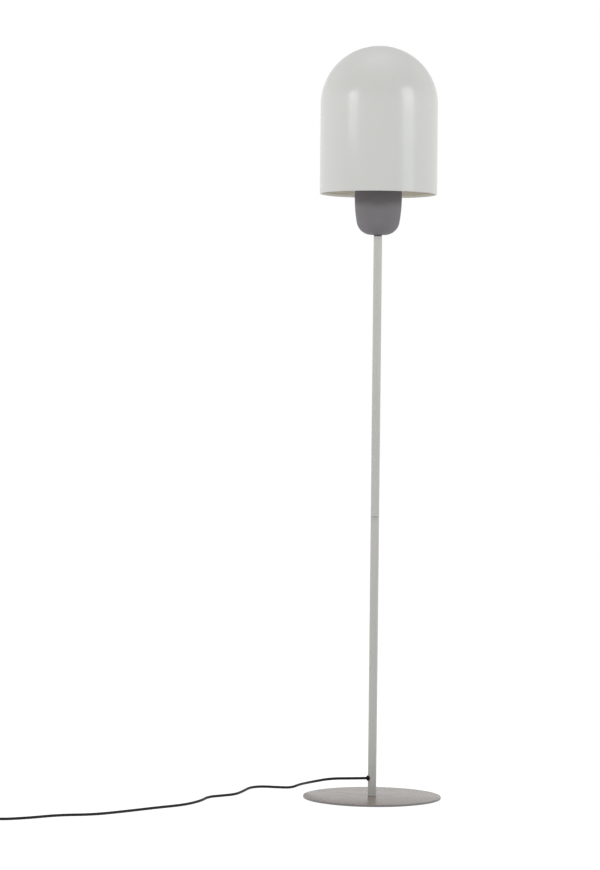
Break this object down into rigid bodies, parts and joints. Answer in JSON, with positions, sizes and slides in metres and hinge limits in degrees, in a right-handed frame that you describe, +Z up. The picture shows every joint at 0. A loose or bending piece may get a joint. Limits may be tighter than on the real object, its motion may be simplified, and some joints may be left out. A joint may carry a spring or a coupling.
{
  "type": "mushroom floor lamp",
  "caption": "Floor lamp with a domed lacquered metal shade over a grey lamp cup, on a slim pole and a flat round base, with a mains lead and foot switch.",
  "frame": {"origin": "on the floor, under the middle of the round base", "axes": "+Z up the pole; the cord leaves the pole towards -X, turned 22 degrees to the front; the front faces -Y"},
  "size_m": [1.046, 0.5518, 1.5],
  "materials": {
    "shade_lacquer": "satin off-white lacquer",
    "inner_paint": "matte off-white paint",
    "cup_paint": "matte mid-grey paint",
    "pole_paint": "satin light-grey paint",
    "base_paint": "satin mid-grey paint",
    "collar_grey": "dark grey paint",
    "foot_foam": "matte black non-slip sheet",
    "zinc_steel": "zinc-plated steel",
    "holder_black": "black moulded plastic",
    "block_white": "white moulded insulator",
    "contact_brass": "bare brass",
    "core_sleeve": "coloured core insulation",
    "bulb_black": "black insulator",
    "bulb_nickel": "plated screw cap",
    "bulb_white": "white moulded plastic",
    "board_white": "white circuit board",
    "globe_opal": "opal plastic",
    "cord_black": "black cord sheath",
    "grommet_black": "black rubber",
    "switch_black": "black moulded plastic",
    "button_black": "black button",
    "tie_black": "soft black strap",
    "plug_black": "black moulded plastic",
    "pin_nickel": "nickel-plated brass"
  },
  "bodies": {
    "lamp": {"lamp_cup": "cup_paint", "lower_tube": "pole_paint", "upper_tube": "pole_paint", "lower_joint_insert": "pole_paint", "pole_top_insert": "pole_paint", "base_plate": "base_paint", "neck_collar": "collar_grey", "foot_sheet": "foot_foam", "base_screw": "zinc_steel", "pole_foot_insert": "zinc_steel", "upper_joint_insert": "zinc_steel", "joint_nipple": "zinc_steel", "neck_nipple": "zinc_steel", "cup_washer": "zinc_steel", "cup_nut": "zinc_steel", "switch_screws": "zinc_steel", "lampholder_cap": "holder_black", "lampholder_body": "holder_black", "contact_block": "block_white", "thread_shell": "contact_brass", "centre_contact": "contact_brass", "terminal_screws": "contact_brass", "lampholder_cores": "core_sleeve", "pole_cable": "cord_black", "lamp_cord": "cord_black", "plug_cord": "cord_black", "cord_coil": "cord_black", "coil_tail": "cord_black", "switch_cord_stubs": "cord_black", "cord_grommet": "grommet_black", "switch_reliefs": "grommet_black", "switch_base": "switch_black", "switch_cover": "switch_black", "switch_mechanism": "switch_black", "cord_tie": "tie_black", "plug_body": "plug_black", "plug_pins": "pin_nickel"},
    "shade": {"shade_shell": "shade_lacquer", "shade_carrier": "inner_paint"},
    "bulb": {"bulb_tip_contact": "contact_brass", "bulb_insulator": "bulb_black", "bulb_cap": "bulb_nickel", "bulb_housing": "bulb_white", "led_board": "board_white", "bulb_globe": "globe_opal"},
    "foot_button": {"switch_button": "button_black"}
  },
  "joints": [
    {"name": "shade_lift", "type": "slide", "parent": "lamp", "child": "shade", "axis": [0, 0, 1], "range_m": [0, 0.08]},
    {"name": "bulb_turn", "type": "hinge", "parent": "lamp", "child": "bulb", "pos_m": [0, 0, 1.2], "axis": [0, 0, 1], "continuous": true},
    {"name": "switch_press", "type": "slide", "parent": "lamp", "child": "foot_button", "axis": [0, 0, -1], "range_m": [0, 0.003], "stiffness_N_per_m": 1000, "springref_m": -0.003}
  ]
}
